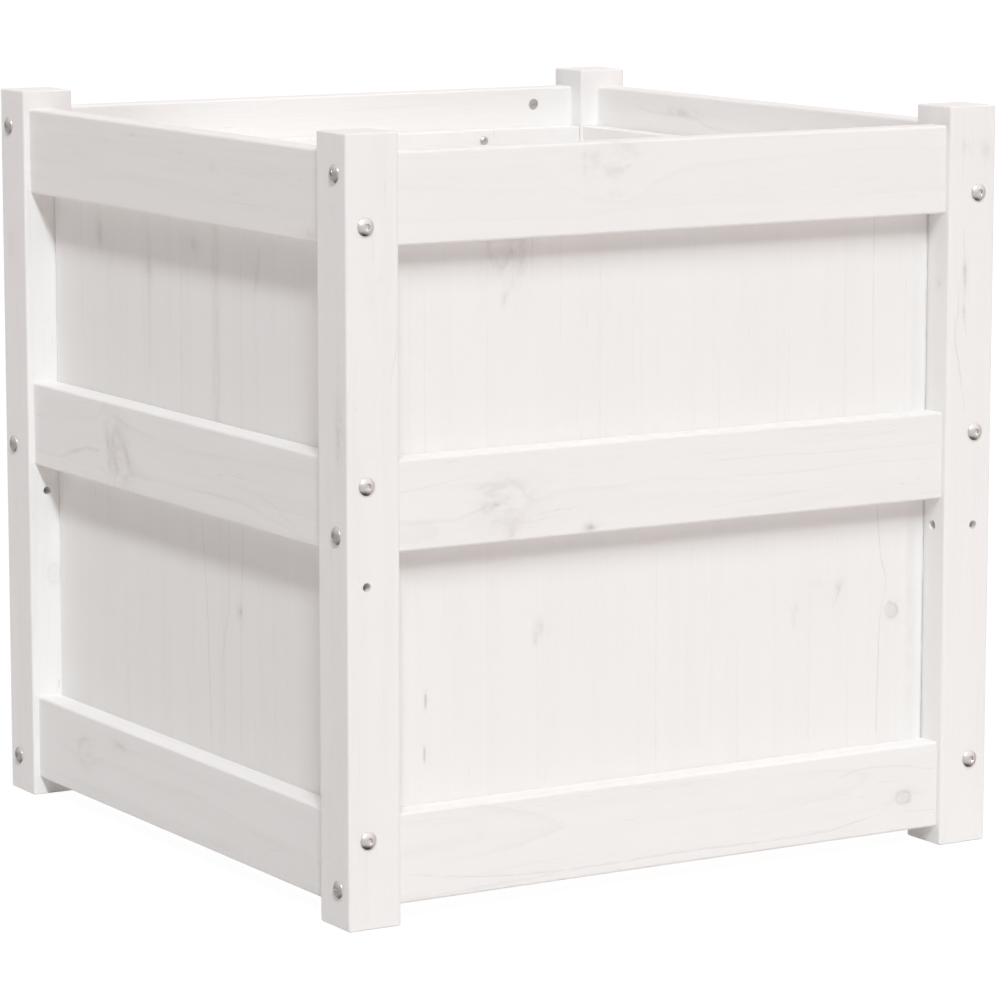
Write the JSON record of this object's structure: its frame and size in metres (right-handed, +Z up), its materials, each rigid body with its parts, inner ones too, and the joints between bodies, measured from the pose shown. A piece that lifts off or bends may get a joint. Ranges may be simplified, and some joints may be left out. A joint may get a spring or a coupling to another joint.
{
  "type": "wooden planter",
  "caption": "Square open-topped floor planter in white painted pine: corner posts with bolted rails, vertical board panels behind the rails and a slatted floor.",
  "frame": {"origin": "on the floor at the middle of the footprint", "axes": "+Z up out of the open top; -Y out of the front, X along the front"},
  "size_m": [0.6014, 0.6014, 0.6],
  "materials": {
    "white_pine": "planed pine under a thin satin white stain, grain and knots showing through faintly",
    "bare_beech": "bare turned beech",
    "bolt_zinc": "bright zinc plated steel",
    "screw_zinc": "zinc plated steel"
  },
  "bodies": {
    "root": {"barrel_nuts_back": "screw_zinc", "barrel_nuts_front": "screw_zinc", "barrel_nuts_left": "screw_zinc", "barrel_nuts_right": "screw_zinc", "batten_screws_left": "screw_zinc", "batten_screws_right": "screw_zinc", "bolts_back": "bolt_zinc", "bolts_front": "bolt_zinc", "bolts_left": "bolt_zinc", "bolts_right": "bolt_zinc", "dowels_back": "bare_beech", "dowels_front": "bare_beech", "dowels_left": "bare_beech", "dowels_right": "bare_beech", "floor_batten_left": "white_pine", "floor_batten_right": "white_pine", "floor_slat_1": "white_pine", "floor_slat_2": "white_pine", "floor_slat_3": "white_pine", "floor_slat_4": "white_pine", "floor_slat_5": "white_pine", "floor_slat_6": "white_pine", "panel_back": "white_pine", "panel_front": "white_pine", "panel_left": "white_pine", "panel_right": "white_pine", "panel_screws_back": "screw_zinc", "panel_screws_front": "screw_zinc", "panel_screws_left": "screw_zinc", "panel_screws_right": "screw_zinc", "post_back_left": "white_pine", "post_back_right": "white_pine", "post_front_left": "white_pine", "post_front_right": "white_pine", "rail_back_bottom": "white_pine", "rail_back_middle": "white_pine", "rail_back_top": "white_pine", "rail_front_bottom": "white_pine", "rail_front_middle": "white_pine", "rail_front_top": "white_pine", "rail_left_bottom": "white_pine", "rail_left_middle": "white_pine", "rail_left_top": "white_pine", "rail_right_bottom": "white_pine", "rail_right_middle": "white_pine", "rail_right_top": "white_pine", "slat_screws_left": "screw_zinc", "slat_screws_right": "screw_zinc"}
  },
  "joints": []
}
